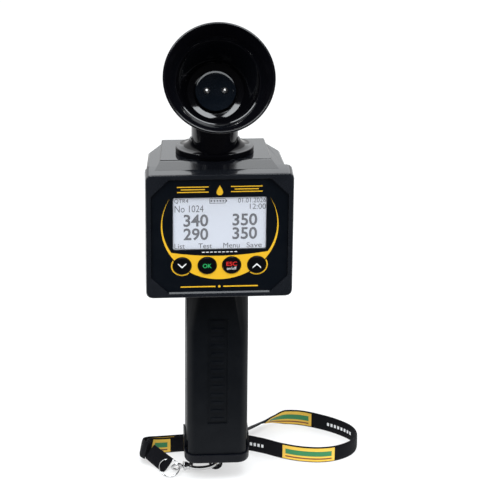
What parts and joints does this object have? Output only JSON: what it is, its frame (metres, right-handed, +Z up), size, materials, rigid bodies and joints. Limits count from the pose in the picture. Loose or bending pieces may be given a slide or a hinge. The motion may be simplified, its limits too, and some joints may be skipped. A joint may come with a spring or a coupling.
{
  "type": "mastitis detector",
  "caption": "Handheld milk conductivity tester: display head with keys on a battery grip, a tilted sensing cup on a flanged neck, and a clip-on wrist strap.",
  "frame": {"origin": "middle of the grip, where a hand holds it", "axes": "+Z up along the grip to the head and cup, -Y out of the display face, +X to the right of the display seen from the front"},
  "size_m": [0.1278, 0.1047, 0.2824],
  "materials": {
    "gloss_black": "glossy moulded",
    "face_black": "satin moulded",
    "grip_black": "fine matte moulded",
    "cap_black": "satin moulded",
    "film_black": "printed film, satin",
    "key_black": "satin, printed legend",
    "window_glass": "clear, flush",
    "display_grey": "reflective display",
    "board_green": "solder mask",
    "rubber_black": "matte",
    "steel": "polished domes",
    "chrome": "bright plated",
    "webbing": "woven, printed panels",
    "battery_shell": "plain sleeve",
    "red_wire": "insulated lead",
    "black_wire": "insulated lead"
  },
  "bodies": {
    "detector": {"grip_shell": "grip_black", "battery": "battery_shell", "battery_snap": "rubber_black", "battery_lead_red": "red_wire", "battery_lead_black": "black_wire", "head_front_bezel": "face_black", "label_film": "film_black", "display_window": "window_glass", "display_module": "display_grey", "main_board": "board_green", "head_gasket": "rubber_black", "head_rear_shell": "gloss_black", "switch_down": "steel", "switch_ok": "steel", "switch_esc": "steel", "switch_up": "steel", "housing_screw_1": "steel", "housing_screw_2": "steel", "housing_screw_3": "steel", "housing_screw_4": "steel", "sensor_cup": "gloss_black", "electrode_plug": "face_black", "electrode_left": "steel", "electrode_right": "steel", "neck_flange": "gloss_black", "neck_seal": "rubber_black", "neck_nut": "face_black", "sensor_lead_left": "black_wire", "sensor_lead_right": "red_wire"},
    "key_down": {"key_down": "key_black"},
    "key_ok": {"key_ok": "key_black"},
    "key_esc": {"key_esc": "key_black"},
    "key_up": {"key_up": "key_black"},
    "end_cap": {"end_cap": "cap_black", "cap_seal": "rubber_black", "strap_loop": "webbing"},
    "clasp": {"clasp_claw": "chrome", "clasp_pin": "chrome", "strap_tail": "webbing"},
    "gate": {"clasp_gate": "chrome"},
    "swivel": {"swivel_eye": "chrome", "split_ring": "chrome"}
  },
  "joints": [
    {"name": "key_down_press", "type": "slide", "parent": "detector", "child": "key_down", "axis": [0, 1, 0], "range_m": [0, 0.0004], "stiffness_N_per_m": 20, "springref_m": -0.0002},
    {"name": "key_ok_press", "type": "slide", "parent": "detector", "child": "key_ok", "axis": [0, 1, 0], "range_m": [0, 0.0004], "stiffness_N_per_m": 20, "springref_m": -0.0002},
    {"name": "key_esc_press", "type": "slide", "parent": "detector", "child": "key_esc", "axis": [0, 1, 0], "range_m": [0, 0.0004], "stiffness_N_per_m": 20, "springref_m": -0.0002},
    {"name": "key_up_press", "type": "slide", "parent": "detector", "child": "key_up", "axis": [0, 1, 0], "range_m": [0, 0.0004], "stiffness_N_per_m": 20, "springref_m": -0.0002},
    {"name": "end_cap_slide", "type": "slide", "parent": "detector", "child": "end_cap", "axis": [0, -1, 0], "range_m": [0, 0.012]},
    {"name": "clasp_swing", "type": "hinge", "parent": "end_cap", "child": "clasp", "pos_m": [0, 0, -0.0663], "axis": [0, 0, 1], "range_deg": [-25, 5], "deforming": ["strap_loop", "strap_tail"]},
    {"name": "gate_open", "type": "hinge", "parent": "clasp", "child": "gate", "pos_m": [-0.01378, 0.00214, -0.06653], "axis": [0.0172, 0.003, -0.9998], "range_deg": [0, 24], "stiffness_Nm_per_rad": 0.001, "springref_deg": -17.19},
    {"name": "swivel_turn", "type": "hinge", "parent": "clasp", "child": "swivel", "pos_m": [0, 0, -0.0663], "axis": [0.9847, 0.1736, 0.0175], "range_deg": [-25, 25]}
  ]
}
